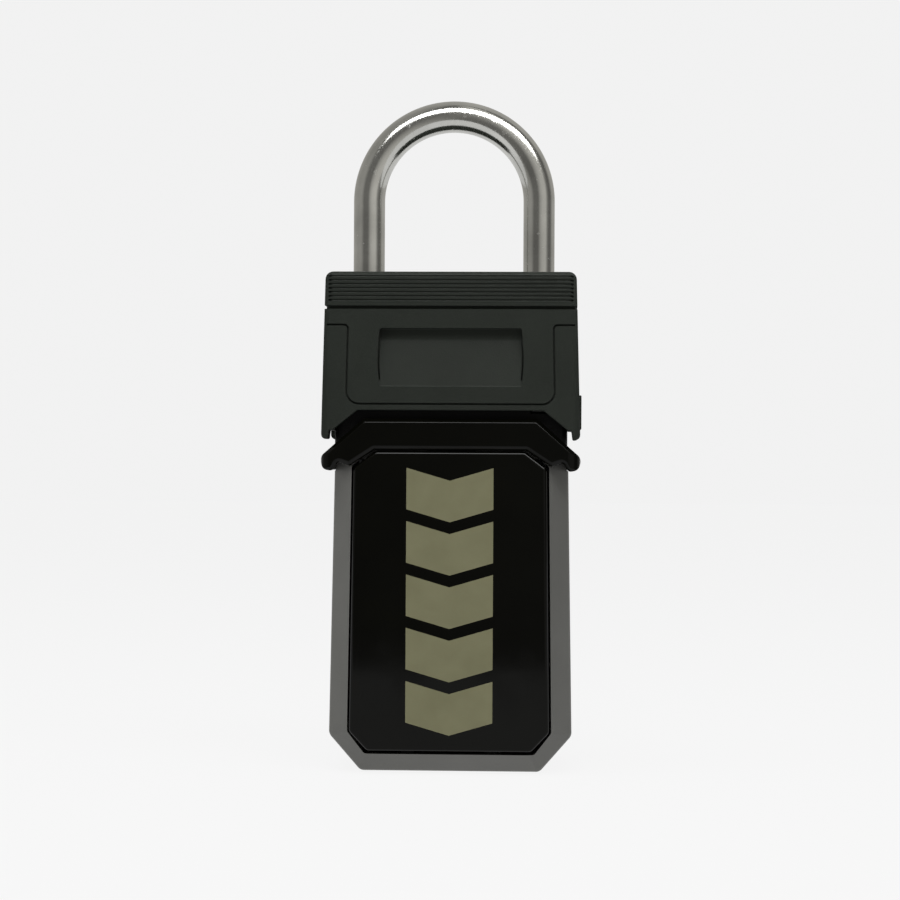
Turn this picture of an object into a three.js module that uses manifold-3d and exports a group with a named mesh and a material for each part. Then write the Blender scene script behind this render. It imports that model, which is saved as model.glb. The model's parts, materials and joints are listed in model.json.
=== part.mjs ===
// A portable combination key safe shaped like a padlock, closed and locked.
// A lock head with four number wheels stands on a key case with a drop-down door, a shackle hangs the
// safe up, and a rubber weather cover slides up the shackle's legs to bare the wheels.
// Millimetres: +X right, -Y front, +Z up, with the origin in the middle of the bottom face.

import * as THREE from "three";
import { mergeVertices } from "three/addons/utils/BufferGeometryUtils.js";
import Module from "manifold-3d";

const wasm = await Module();
wasm.setup();

// ---- Driving dimensions -------------------------------------------------------------------------

const gap = 0.3; // air between neighbouring pieces

const barRadius = 4; // shackle bar
const legX = 21.8; // shackle legs, either side of the middle
const archZ = 145; // centre of the shackle's half circle
const heelZ = 92; // lower end of the long left leg
const toeZ = 112; // lower end of the short right leg
const boreRadius = 4.2; // the bores that the legs run in

const coverHalfDepth = 17;
const coverTopZ = 126;
const coverArchZ = 91.2; // lower edge of the cover's front
const coverSideZ = 86.2; // lower edge of its sides, between the hooks at its four corners
const collarHalfDepth = 17.2;

const caseTopZ = 81.3;
const caseFrontY = -15.9;
const caseBackY = 16.5;
const ledgeZ = 79; // underside of the ledge that closes the key compartment
const bevelDepth = 6.4; // how far back the case's front bevel starts
const bevelInset = 5.5;

const headHalfWidth = 29.3;
const headFrontY = -14.1;
const headBackY = 14.1;
const headBottomZ = 81.6;
const headTopZ = 123.4;
const rearCoverY = 11.9; // front face of the head's rear cover

const wheelX = [-12.6, -4.2, 4.2, 12.6];
const wheelY = -5.9;
const wheelZ = 98.5;
const wheelRadius = 8.3; // over the corners of the ten flats
const wheelHalfWidth = 2.5;
const spindleRadius = 1.5;

const doorFrontY = -16.6;
const doorBackY = -12.6;
const hingeY = -14.7;
const hingeZ = 6.95;
const hingeLugX = 10.5; // middle of each hinge lug
const strikeY = [-11.2, -9]; // the bar that the door's catch hooks behind

// ---- Solids from three.js geometry --------------------------------------------------------------

function solidOf(geometry) {
  const bare = geometry.clone();
  bare.deleteAttribute("normal");
  bare.deleteAttribute("uv");
  const merged = mergeVertices(bare, 1e-4);
  const mesh = new wasm.Mesh({
    numProp: 3,
    vertProperties: new Float32Array(merged.attributes.position.array),
    triVerts: new Uint32Array(merged.index.array),
  });
  return new wasm.Manifold(mesh);
}

function geometryOf(solid) {
  const mesh = solid.getMesh();
  const geometry = new THREE.BufferGeometry();
  geometry.setAttribute("position", new THREE.BufferAttribute(mesh.vertProperties, 3));
  geometry.setIndex(new THREE.BufferAttribute(mesh.triVerts, 1));
  geometry.computeVertexNormals();
  return geometry;
}

function box([x0, x1], [y0, y1], [z0, z1]) {
  const geometry = new THREE.BoxGeometry(x1 - x0, y1 - y0, z1 - z0);
  geometry.translate((x0 + x1) / 2, (y0 + y1) / 2, (z0 + z1) / 2);
  return solidOf(geometry);
}

// A round bar along one axis; its centre is given on the other two axes, in x, y, z order.
function rod(axis, radius, [from, to], [u, v], sides = 16) {
  const geometry = new THREE.CylinderGeometry(radius, radius, to - from, sides);
  const middle = (from + to) / 2;
  if (axis === "x") {
    geometry.rotateZ(Math.PI / 2);
    geometry.translate(middle, u, v);
  } else if (axis === "y") {
    geometry.translate(u, middle, v);
  } else {
    geometry.rotateX(Math.PI / 2);
    geometry.translate(u, v, middle);
  }
  return solidOf(geometry);
}

// A closed outline through corners [u, v, radius]; a corner with no radius stays sharp.
function outline(corners) {
  const shape = new THREE.Shape();
  corners.forEach(([u, v, radius = 0], i) => {
    const corner = new THREE.Vector2(u, v);
    const before = corners.at(i - 1);
    const after = corners[(i + 1) % corners.length];
    const back = new THREE.Vector2(before[0] - u, before[1] - v).normalize();
    const ahead = new THREE.Vector2(after[0] - u, after[1] - v).normalize();
    const half = Math.acos(THREE.MathUtils.clamp(back.dot(ahead), -1, 1)) / 2;
    const start = corner.clone().addScaledVector(back, radius / Math.tan(half));
    if (i === 0) {
      shape.moveTo(start.x, start.y);
    } else {
      shape.lineTo(start.x, start.y);
    }
    if (radius > 0) {
      const end = corner.clone().addScaledVector(ahead, radius / Math.tan(half));
      const inward = back.clone().add(ahead).normalize();
      const centre = corner.clone().addScaledVector(inward, radius / Math.sin(half));
      const from = Math.atan2(start.y - centre.y, start.x - centre.x);
      const to = Math.atan2(end.y - centre.y, end.x - centre.x);
      shape.absarc(centre.x, centre.y, radius, from, to, ahead.cross(back) < 0);
    }
  });
  return shape;
}

// The whole outline of a left-right symmetric piece from its right half, top middle to bottom middle.
function mirrored(half) {
  const left = half.slice(1, -1).reverse();
  return outline([...half, ...left.map(([u, v, radius]) => [-u, v, radius])]);
}

function roundedPlan(halfWidth, [y0, y1], frontRadius, backRadius) {
  return outline([
    [-halfWidth, y0, frontRadius],
    [halfWidth, y0, frontRadius],
    [halfWidth, y1, backRadius],
    [-halfWidth, y1, backRadius],
  ]);
}

// A prism of a front-view outline (x, z) between two depths, with both its faces bevelled alike.
function frontPrism(shape, [y0, y1], bevel = { depth: 0, inset: 0 }) {
  const geometry = new THREE.ExtrudeGeometry(shape, {
    depth: y1 - y0 - 2 * bevel.depth,
    curveSegments: 3,
    bevelEnabled: bevel.depth > 0,
    bevelThickness: bevel.depth,
    bevelSize: bevel.inset,
    bevelOffset: -bevel.inset,
    bevelSegments: 1,
  });
  geometry.rotateX(Math.PI / 2);
  geometry.translate(0, y1 - bevel.depth, 0);
  return solidOf(geometry);
}

// A prism of a top-view outline (x, y) between two heights.
function planPrism(shape, [z0, z1]) {
  const plain = { depth: z1 - z0, curveSegments: 2, bevelEnabled: false };
  const geometry = new THREE.ExtrudeGeometry(shape, plain);
  geometry.translate(0, 0, z0);
  return solidOf(geometry);
}

// A prism of a side-view outline (y, z) between two widths.
function sidePrism(shape, [x0, x1]) {
  const plain = { depth: x1 - x0, curveSegments: 3, bevelEnabled: false };
  const geometry = new THREE.ExtrudeGeometry(shape, plain);
  const toSide = new THREE.Matrix4().makeBasis(
    new THREE.Vector3(0, 1, 0),
    new THREE.Vector3(0, 0, 1),
    new THREE.Vector3(1, 0, 0),
  );
  geometry.applyMatrix4(toSide);
  geometry.translate(x0, 0, 0);
  return solidOf(geometry);
}

const both = (build) => build(-1).add(build(1));
const union = (solids) => wasm.Manifold.union(solids);
const cut = (solid, cutters) => solid.subtract(union(cutters));

// ---- Finishes -----------------------------------------------------------------------------------

function finish(color, roughness, metalness) {
  return new THREE.MeshStandardMaterial({ color, roughness, metalness });
}

const rubber = () => finish(0x272b25, 0.75, 0);
const glossBlack = () => finish(0x0b0b0a, 0.12, 0);
const satinGrey = () => finish(0x5c5b57, 0.42, 0.35);
const polishedSteel = () => finish(0xb4b4ae, 0.18, 1);
const zincCasting = () => finish(0x1d1e1d, 0.5, 0.4);
const brass = () => finish(0xb08d45, 0.35, 1);
const springSteel = () => finish(0x8f9194, 0.3, 1);
const blackNylon = () => finish(0x151515, 0.55, 0);

const lock = new THREE.Group();

function place(name, solid, material, position = [0, 0, 0]) {
  const mesh = new THREE.Mesh(geometryOf(solid), material);
  mesh.name = name;
  mesh.position.set(...position);
  lock.add(mesh);
}

// ---- Weather cover ------------------------------------------------------------------------------

function coverShell() {
  const front = mirrored([
    [0, coverTopZ],
    [31.42, coverTopZ, 1.5],
    [32.55, 83.9, 1.5],
    [30.7, 83.9],
    [30.4, coverSideZ],
    [29.5, coverSideZ],
    [23.3, coverArchZ, 0.6],
    [0, coverArchZ],
  ]);
  const side = outline([
    [-coverHalfDepth, 80],
    [-coverHalfDepth, coverTopZ, 1.5],
    [coverHalfDepth, coverTopZ, 1.5],
    [coverHalfDepth, 80],
  ]);
  const depths = [-coverHalfDepth, coverHalfDepth];
  const block = frontPrism(front, depths)
    .intersect(sidePrism(side, [-40, 40]))
    .intersect(planPrism(roundedPlan(32.6, depths, 2.2, 3), [80, 130]));
  const hollow = planPrism(roundedPlan(29.6, [-14.4, 14.4], 2, 2), [80, 123.8]);
  const sideEdges = box([-40, 40], [-11.5, 11.5], [80, coverSideZ]);
  const legHoles = both((s) => rod("z", 4.35, [120, 130], [s * legX, 0]));
  return cut(block.add(both(sidePad)), [hollow, sideEdges, legHoles]);
}

// A low pad low down on each side, where finger and thumb pinch the cover to slide it.
function sidePad(side) {
  const profile = outline([
    [-9, 86.6, 1],
    [9, 86.6, 1],
    [9, 95.3, 1],
    [-9, 95.3, 1],
  ]);
  return sidePrism(profile, side > 0 ? [31, 32.85] : [-32.85, -31]);
}

// A groove of one depth around the cover's band.
function bandGroove(z, height, depth) {
  const y = coverHalfDepth - depth;
  const core = planPrism(roundedPlan(31.55 - depth, [-y, y], 2, 2.8), [z - 1, z + height + 1]);
  return box([-40, 40], [-20, 20], [z, z + height]).subtract(core);
}

function coverReliefLines() {
  const lineY = [-18, -16.3];
  const line = 0.45;
  const uTop = 112.8;
  const uBottom = 92.55;
  const corner = 3.2;
  const uShape = (inset) =>
    mirrored([
      [0, uTop],
      [25.95 - inset, uTop],
      [26.35 - inset, uBottom + inset, corner - inset],
      [0, uBottom + inset],
    ]);
  const uLine = frontPrism(uShape(0), lineY).subtract(frontPrism(uShape(line), [-19, -16]));
  const wing = (s) => box([s > 0 ? 25.7 : -31, s > 0 ? 31 : -25.7], lineY, [uTop - line, uTop]);
  return uLine.add(both(wing));
}

// The thumb scoop: steep under its upper edge, then a hollow that runs out to its lower edge.
function thumbScoop() {
  const profile = outline([
    [-17.3, 111.8],
    [-15.5, 111.4, 0.6],
    [-15.1, 107, 5],
    [-16.4, 98.4, 5],
    [-17.3, 96.6],
  ]);
  return sidePrism(profile, [-18.1, 18.1]);
}

function weatherCover() {
  const ribs = [...Array(7).keys()].map((i) => bandGroove(118.5 + i, 0.45, 0.35));
  return cut(coverShell(), [
    ...ribs,
    bandGroove(116.6, 0.75, 0.8),
    coverReliefLines(),
    thumbScoop(),
  ]);
}

place("weather_cover", weatherCover(), rubber());

// ---- Collar and key case ------------------------------------------------------------------------

// Right half of the collar's front view, with its lower edge let down and its end let out by a margin.
function collarOutline(margin) {
  return mirrored([
    [0, 88.4],
    [22.6, 88.4, 2],
    [33 + margin, 79.2, 2.2],
    [32 + margin, 76.3 - margin, 1.8],
    [29.6, 75.9 - margin],
    [28.2, 78.2 - margin, 0.8],
    [25.3, 77.2 - margin, 0.3],
    [19.1, 81.25 - margin, 0.3],
    [0, 81.25 - margin],
  ]);
}

function collar() {
  const depths = [-collarHalfDepth, collarHalfDepth];
  return frontPrism(collarOutline(0), depths)
    .intersect(planPrism(roundedPlan(32.85, depths, 3.2, 4), [70, 95]))
    .subtract(box([-29.5, 29.5], [-14.3, 14.3], [70, 95]));
}

place("collar", collar(), glossBlack());

function caseShell() {
  const front = mirrored([
    [0, 100],
    [29.2, 100],
    [30.75, 9.2],
    [22.7, 0],
    [0, 0],
  ]);
  const bevel = { depth: bevelDepth, inset: bevelInset };
  const depths = [-30, caseBackY];
  const block = frontPrism(front, [caseFrontY, 40], bevel)
    .intersect(planPrism(roundedPlan(31, depths, 1, 4), [-1, caseTopZ]));
  const seat = frontPrism(collarOutline(gap), [-20, 20])
    .subtract(box([-29.2, 29.2], [-14, 14], [60, 95]));
  const compartment = mirrored([
    [0, ledgeZ],
    [25.9, ledgeZ],
    [27, 10.4],
    [21.2, 3.4],
    [0, 3.4],
  ]);
  return cut(block, [seat, frontPrism(compartment, [-12.2, 13.9])]);
}

function doorOpening() {
  return frontPrism(
    mirrored([
      [0, 83],
      [19.1, 83],
      [19.1, 81.9],
      [24.8, 77.2],
      [25.65, 10.4],
      [21.4, 4.9],
      [0, 4.9],
    ]),
    [-20, -12],
  );
}

// Openings in the ledge over the key compartment: door catch, code reset knob and shackle lever.
function ledgeOpenings() {
  const z = [78, 82];
  return [
    box([-6, 6], [-13, -5], z),
    box([-15.6, -6.4], [-3.6, 1.6], z),
    box([19, 24.7], [6.4, 9], z),
  ];
}

const caseScrews = [
  [23.2, -3.5],
  [-22.5, -8],
  [12, 9.5],
  [-12, 9.5],
];
const strikeScrewX = 13;
const strikeMiddleY = (strikeY[0] + strikeY[1]) / 2;

function hingeLug(side) {
  const x = [side * hingeLugX - 1.5, side * hingeLugX + 1.5];
  const foot = outline([
    [hingeY, hingeZ - 0.7],
    [hingeY + 1.2, hingeZ - 1],
    [hingeY + 1.2, 4.5],
    [-12.4, 4.5],
    [-12.4, hingeZ + 0.5, 0.8],
    [hingeY, hingeZ + 1],
  ]);
  return rod("x", 1.1, x, [hingeY, hingeZ]).add(sidePrism(foot, x));
}

function keyCase() {
  const drains = both((s) => rod("z", 1, [-1, 4], [s * 12, 2], 12));
  const screwHoles = caseScrews.map((at) => rod("z", 1.5, [78, 82], at));
  const strikeHoles = both((s) => rod("z", 1, [78, 82], [s * strikeScrewX, strikeMiddleY], 12));
  const body = cut(caseShell(), [
    doorOpening(),
    ...ledgeOpenings(),
    drains,
    ...screwHoles,
    strikeHoles,
  ]);
  const pinBore = rod("x", 0.58, [-20, 20], [hingeY, hingeZ], 12);
  return body.add(both(hingeLug)).subtract(pinBore);
}

place("key_case", keyCase(), satinGrey());

// ---- Key compartment door -----------------------------------------------------------------------

const trayScrews = [
  [16, 18],
  [-16, 18],
  [16, 66],
  [-16, 66],
];

function doorPanel() {
  const front = mirrored([
    [0, 81],
    [18.7, 81, 0.8],
    [24.25, 76.8, 0.8],
    [25.1, 10.8, 0.8],
    [20.6, 6.1, 0.8],
    [0, 6.1],
  ]);
  const edge = 0.5;
  const slab = frontPrism(front, [doorFrontY, doorBackY + edge], { depth: edge, inset: edge })
    .intersect(box([-30, 30], [-20, doorBackY], [0, 90]));
  const knuckleSlots = both((s) =>
    box([s * hingeLugX - 1.8, s * hingeLugX + 1.8], [-15.95, -12], [5, 8.4]),
  );
  const pinBore = rod("x", 0.58, [-17, 17], [hingeY, hingeZ], 12);
  const screwHoles = trayScrews.map((at) => rod("y", 1, [-15.2, -12], at, 12));
  return cut(slab, [knuckleSlots, pinBore, ...screwHoles]);
}

function doorTray() {
  const front = roundedPlan(20, [12, 72], 2, 2);
  const plate = frontPrism(front, [-12.4, -11.2]);
  const rims = both((s) => box([s * 19.4 - 0.6, s * 19.4 + 0.6], [-12, -9], [16, 68]));
  const holes = trayScrews.map((at) => rod("y", 1, [-13, -11], at, 12));
  return cut(plate.add(rims), holes);
}

function trayScrew([x, z]) {
  return rod("y", 0.8, [-15, -10.8], [x, z], 12).add(rod("y", 1.8, [-11, -9.9], [x, z]));
}

function doorCatch() {
  const profile = outline([
    [-12.3, 72.6],
    [-11.7, 72.6],
    [-11.7, 79],
    [-8.4, 79],
    [-8.4, 77.4],
    [-7.6, 77.4],
    [-7.6, 79.6],
    [-12.3, 79.6],
  ]);
  return sidePrism(profile, [-5, 5]);
}

place("door_panel", doorPanel(), glossBlack());
place("door_inner_tray", doorTray(), blackNylon());
trayScrews.forEach((at, i) => place(`door_screw_${i + 1}`, trayScrew(at), springSteel()));
place("door_catch_spring", doorCatch(), springSteel());
place("door_hinge_pin", rod("x", 0.45, [-16.5, 16.5], [hingeY, hingeZ], 12), polishedSteel());

function strikeBar() {
  const bar = box([-17, 17], strikeY, [76.5, 78.7]);
  return bar.subtract(both((s) => rod("z", 1, [76, 79], [s * strikeScrewX, strikeMiddleY], 12)));
}

function strikeScrew(side) {
  const at = [side * strikeScrewX, strikeMiddleY];
  return rod("z", 1.6, [75, 76.2], at).add(rod("z", 0.8, [76, 80.9], at, 12));
}

place("strike_bar", strikeBar(), springSteel());
place("strike_bar_screw_1", strikeScrew(1), springSteel());
place("strike_bar_screw_2", strikeScrew(-1), springSteel());

caseScrews.forEach((at, i) => {
  const screw = rod("z", 2.2, [76.8, 78.7], at).add(rod("z", 1.25, [78, 87.7], at, 12));
  place(`case_screw_${i + 1}`, screw, springSteel());
});

// ---- Lock head ----------------------------------------------------------------------------------

const rivets = [
  [27.2, 86.5],
  [-27.2, 86.5],
  [27.2, 119.5],
  [-27.2, 119.5],
];
const combX = 18; // half length of the combs, which sit in slots in the bay's ends
const retainingPinZ = 117;
const leverX = [19.2, 24.4];
const leverY = [7.3, 8.5];
const catchScrewZ = 91;

function headPlan([y0, y1], frontRadius, backRadius) {
  return roundedPlan(headHalfWidth, [y0, y1], frontRadius, backRadius);
}

// The hollows that the wheels and their combs use.
function wheelHollows() {
  const combSlot = (s, y, z) => box([s > 0 ? 17 : -combX - gap, s > 0 ? combX + gap : -17], y, z);
  return [
    box([-19.4, 19.4], [-15, -12], [91.2, 108.8]),
    box([-17.2, 17.2], [-12.5, rearCoverY], [89.6, 107.4]),
    rod("x", 1.65, [-19, 19], [wheelY, wheelZ]),
    both((s) => combSlot(s, [6.1, rearCoverY], [90.7, 94.3])),
    both((s) => combSlot(s, [8.3, rearCoverY], [95.7, 104.3])),
    box([-16.3, -5.7], [-4.7, 2.7], [82.9, 90]),
    box([-15.3, -6.7], [-3.3, 1.3], [81, 83.5]),
  ];
}

// The bores of the shackle's legs and what locks and stops them.
function shackleHollows() {
  return [
    rod("z", boreRadius, [84, 125], [-legX, 0]),
    rod("z", boreRadius, [111.2, 125], [legX, 0]),
    both((s) => rod("z", 5.8, [122.5, 125], [s * legX, 0])),
    rod("x", 1.3, [-30, -legX], [0, retainingPinZ]),
    box([18.9, 26], [4.8, rearCoverY], [83.6, 120]),
    box([18.9, 24.7], [2.5, 5.5], [113.2, 119.2]),
    box([18.9, 24.7], [7, 8.8], [81, 84]),
    rod("y", 1.1, [0.5, 5], [legX, catchScrewZ], 12),
  ];
}

// The slider's recess and the slots that its arm runs in.
function sliderHollows() {
  return [
    box([20, 27.4], [-15, -11.2], [90.5, 107.5]),
    box([20, 24.3], [-11.5, -7.9], [81, 104]),
    box([-4.5, 24.3], [-9.9, -7.9], [81, 90.5]),
  ];
}

function lockHead() {
  const block = planPrism(headPlan([headFrontY, rearCoverY - 0.2], 2, 0), [headBottomZ, headTopZ]);
  return cut(block, [
    ...wheelHollows(),
    ...shackleHollows(),
    ...sliderHollows(),
    box([-26, -18.9], [5.7, rearCoverY], [84, 120]),
    box([-15, 15], [-11, rearCoverY], [110, 120]),
    ...caseScrews.map((at) => rod("z", 1.4, [81, 88], at, 12)),
    ...rivets.map((at) => rod("y", 1.15, [6, 12], at, 12)),
  ]);
}

function headRearCover() {
  const plate = planPrism(headPlan([rearCoverY, headBackY], 0, 2), [headBottomZ, headTopZ]);
  return cut(plate, rivets.map((at) => rod("y", 1.15, [11, 15], at, 12)));
}

place("lock_head", lockHead(), zincCasting());
place("head_rear_cover", headRearCover(), zincCasting());
rivets.forEach((at, i) => {
  place(`rear_cover_rivet_${i + 1}`, rod("y", 1, [6.3, 13.6], at, 12), springSteel());
});

function gasket(side) {
  const at = [side * legX, 0];
  return rod("z", 5.6, [122.6, 123.5], at).subtract(rod("z", boreRadius, [122, 124], at));
}

place("shackle_gasket_left", gasket(-1), rubber());
place("shackle_gasket_right", gasket(1), rubber());

// ---- Number wheels ------------------------------------------------------------------------------

const faceplateY = [-13.1, -12.3];

function faceplate() {
  const plate = box([-19.1, 19.1], faceplateY, [91.5, 108.5]);
  const slots = wheelX.map((x) => box([x - 2.8, x + 2.8], [-14, -12], [wheelZ - 5.7, wheelZ + 5.7]));
  return cut(plate, slots);
}

function numberWheel() {
  const width = [-wheelHalfWidth, wheelHalfWidth];
  return rod("x", wheelRadius, width, [0, 0], 10).subtract(rod("x", 3.4, [-4, 4], [0, 0], 20));
}

// The hub inside a wheel: a sleeve with a gate disc, notched where its number is right.
function codeHub() {
  const sleeve = rod("x", 3.2, [-2.4, 4.4], [0, 0], 20);
  const disc = rod("x", 6, [3.4, 4.4], [0, 0], 24);
  const gate = box([3, 5], [4.2, 7], [-1.8, 1.8]);
  const bore = rod("x", 1.75, [-5, 5], [0, 0]);
  return cut(sleeve.add(disc), [gate, bore]);
}

place("dial_faceplate", faceplate(), polishedSteel());
wheelX.forEach((x, i) => {
  const at = [x, wheelY, wheelZ];
  place(`number_wheel_${i + 1}`, numberWheel(), blackNylon(), at);
  place(`code_hub_${i + 1}`, codeHub(), brass(), at);
});
place("wheel_spindle", rod("x", spindleRadius, [-18.7, 18.7], [wheelY, wheelZ]), polishedSteel());

// A leaf spring with one finger for each wheel, resting on its rear flat.
function detentComb() {
  const finger = outline([
    [6.4, 91],
    [7, 91],
    [7, 94.4],
    [2.9, 97.3],
    [2.9, 99.7],
    [2.3, 99.7],
    [2.3, 97],
    [6.4, 94],
  ]);
  const base = box([-combX, combX], [6.4, 7], [91, 94]);
  return union([base, ...wheelX.map((x) => sidePrism(finger, [x - 1.5, x + 1.5]))]);
}

// A bar with one tooth for each gate; it holds the slider until all the gates line up.
function fenceComb() {
  const bar = box([-combX, combX], [8.6, 9.6], [96, 104]);
  const teeth = wheelX.map((x) => box([x + 3.5, x + 4.3], [-1.4, 9], [97.2, 99.8]));
  return union([bar, ...teeth]);
}

place("detent_comb", detentComb(), springSteel());
place("fence_comb", fenceComb(), brass());

// ---- Release slider -----------------------------------------------------------------------------

class Helix extends THREE.Curve {
  constructor(radius, z0, z1, turns) {
    super();
    Object.assign(this, { radius, z0, z1, turns });
  }

  getPoint(t) {
    const angle = 2 * Math.PI * this.turns * t;
    const z = this.z0 + (this.z1 - this.z0) * t;
    return new THREE.Vector3(this.radius * Math.cos(angle), this.radius * Math.sin(angle), z);
  }
}

// A coil spring of round wire about a vertical line, between two heights.
function coilSpring(radius, wireRadius, [z0, z1], turns, sides) {
  const wire = new THREE.Shape().absarc(0, 0, wireRadius, 0, 2 * Math.PI);
  const path = new Helix(radius, z0 + wireRadius, z1 - wireRadius, turns);
  return solidOf(
    new THREE.ExtrudeGeometry(wire, {
      extrudePath: path,
      steps: turns * 10,
      curveSegments: sides / 2,
      bevelEnabled: false,
    }),
  );
}

function releaseSlider() {
  const thumb = box([20.3, 27.1], [-13.3, -11.5], [91, 103]);
  const ridges = [...Array(5).keys()].map((i) => {
    const z = 92.6 + 1.9 * i;
    return box([20.9, 26.5], [-13.9, -13], [z, z + 0.9]);
  });
  return union([
    thumb,
    ...ridges,
    box([20.3, 24], [-12, -8.2], [91, 94]),
    box([20.3, 24], [-9.6, -8.2], [82.6, 94]),
    box([-4, 24], [-9.6, -8.2], [82.6, 86]),
    box([-4, 4], [-9.6, -8.2], [79.9, 86]),
  ]);
}

place("release_slider", releaseSlider(), blackNylon());
place("release_spring", coilSpring(1.2, 0.3, [94.3, 103.7], 6, 6), springSteel(), [22.2, -9.7, 0]);

// ---- Shackle and its locking --------------------------------------------------------------------

function shackle() {
  const ring = new THREE.TorusGeometry(legX, barRadius, 16, 48);
  ring.rotateX(Math.PI / 2);
  ring.translate(0, 0, archZ);
  const arch = solidOf(ring).intersect(box([-40, 40], [-10, 10], [archZ, 180]));
  const heel = rod("z", barRadius, [heelZ, archZ], [-legX, 0]);
  const toe = rod("z", barRadius, [toeZ, archZ], [legX, 0]);
  const stopFlat = box([-30, -24.2], [-5, 5], [98, 118.6]);
  const catchNotch = box([15, 30], [2.8, 5], [114.8, 117.4]);
  return cut(union([arch, heel, toe]), [stopFlat, catchNotch]);
}

function shackleCatch() {
  const profile = outline([
    [5.2, 88],
    [5.8, 88],
    [5.8, 109],
    [7, 110],
    [7, 111],
    [5.8, 112],
    [5.8, 117],
    [3.2, 117],
    [3.2, 116.4],
    [4.2, 115.2],
    [5.2, 115.2],
  ]);
  const hole = rod("y", 1.2, [4, 8], [legX, catchScrewZ], 12);
  return sidePrism(profile, [19.4, 24.2]).subtract(hole);
}

function shackleLever() {
  const bar = box(leverX, leverY, [83, 118.5]);
  const stem = box([20, 23.6], leverY, [75, 84]);
  const tab = box([19.4, 24.2], [4.5, 8.5], [74, 76.4]);
  const window = box([19.9, 23.7], [7, 9], [112.8, 116.6]);
  return cut(union([bar, stem, tab]), [window]);
}

place("shackle", shackle(), polishedSteel());
place("heel_retaining_pin", rod("x", 1.1, [-29.2, -24.4], [0, retainingPinZ], 12), springSteel());
place("shackle_spring", coilSpring(3, 0.4, [84.3, 91.7], 4, 6), springSteel(), [-legX, 0, 0]);
place("shackle_catch", shackleCatch(), springSteel());
place(
  "shackle_catch_screw",
  rod("y", 0.9, [0.8, 6], [legX, catchScrewZ], 12).add(rod("y", 1.8, [6, 6.9], [legX, catchScrewZ])),
  springSteel(),
);
place("shackle_release_lever", shackleLever(), blackNylon());

// ---- Code reset lever ---------------------------------------------------------------------------

place(
  "code_reset_lever",
  box([-15, -11], [-3, 1], [79.4, 84]).add(box([-16, -10], [-4.4, 2.4], [83.8, 85.2])),
  blackNylon(),
);

export default lock;
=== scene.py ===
import json
import math

import bmesh
import bpy
from mathutils import Matrix, Vector


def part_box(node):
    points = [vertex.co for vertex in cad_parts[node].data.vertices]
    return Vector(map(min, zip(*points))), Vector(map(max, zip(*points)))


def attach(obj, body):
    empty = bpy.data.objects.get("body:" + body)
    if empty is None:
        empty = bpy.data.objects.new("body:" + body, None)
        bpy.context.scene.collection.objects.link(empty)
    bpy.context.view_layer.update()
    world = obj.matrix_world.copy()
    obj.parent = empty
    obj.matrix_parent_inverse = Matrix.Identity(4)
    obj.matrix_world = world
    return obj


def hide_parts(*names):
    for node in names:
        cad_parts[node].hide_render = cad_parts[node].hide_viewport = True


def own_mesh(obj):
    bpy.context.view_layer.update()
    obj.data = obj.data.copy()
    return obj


# A portable combination key safe shaped like a padlock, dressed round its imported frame.
# Shapes are worked out in millimetres and made in metres: +X right, -Y front, +Z up.

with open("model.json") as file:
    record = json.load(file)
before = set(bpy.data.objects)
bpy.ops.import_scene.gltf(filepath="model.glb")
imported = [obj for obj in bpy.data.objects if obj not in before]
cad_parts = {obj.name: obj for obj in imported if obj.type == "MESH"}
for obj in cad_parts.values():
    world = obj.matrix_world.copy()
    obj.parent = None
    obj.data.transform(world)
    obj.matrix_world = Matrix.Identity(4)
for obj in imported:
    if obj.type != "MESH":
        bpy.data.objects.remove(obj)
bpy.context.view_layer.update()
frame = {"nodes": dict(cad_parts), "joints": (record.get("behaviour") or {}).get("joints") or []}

MM = 0.001

# ---- The frame ----------------------------------------------------------------------------------


def box_mm(node):
    low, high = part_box(node)
    return low / MM, high / MM


def joint_named(name):
    return next(joint for joint in frame["joints"] if joint["name"] == name)


# ---- Outlines and solids ------------------------------------------------------------------------


def rounded(corners, steps=6, closed=True):
    """Points of an outline through corners (u, v, radius); a corner with no radius stays sharp."""
    points = []
    count = len(corners)
    for i, corner in enumerate(corners):
        here = Vector(corner[:2])
        radius = corner[2] if len(corner) == 3 else 0
        is_end = not closed and i in (0, count - 1)
        if not radius or is_end:
            points.append(here)
            continue
        back = (Vector(corners[i - 1][:2]) - here).normalized()
        ahead = (Vector(corners[(i + 1) % count][:2]) - here).normalized()
        half = back.angle(ahead) / 2
        centre = here + (back + ahead).normalized() * radius / math.sin(half)
        start = here + back * radius / math.tan(half) - centre
        end = here + ahead * radius / math.tan(half) - centre
        turn = math.atan2(start.x * end.y - start.y * end.x, start.dot(end))
        for k in range(steps + 1):
            points.append(centre + Matrix.Rotation(turn * k / steps, 2) @ start)
    return points


def mirrored(half):
    """The whole outline of a symmetric piece from its right half, top middle to bottom middle."""
    return half + [(-corner[0], *corner[1:]) for corner in half[-2:0:-1]]


def plan_corners(half_width, front, back, front_radius, back_radius):
    return [
        (-half_width, front, front_radius),
        (half_width, front, front_radius),
        (half_width, back, back_radius),
        (-half_width, back, back_radius),
    ]


def side_normals(points, closed=True):
    """The direction to the right of each point of a path, as it is walked."""
    normals = []
    last = len(points) - 1
    for i in range(len(points)):
        before = points[i - 1] if closed or i else points[i]
        after = points[(i + 1) % len(points)] if closed or i < last else points[i]
        along = (after - before).normalized()
        normals.append(Vector((along.y, -along.x)))
    return normals


def stripe(points, width):
    """The outline of a line of one width drawn through points."""
    normals = side_normals(points, closed=False)
    right = [p + n * width / 2 for p, n in zip(points, normals)]
    left = [p - n * width / 2 for p, n in zip(points, normals)]
    return right + left[::-1]


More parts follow.
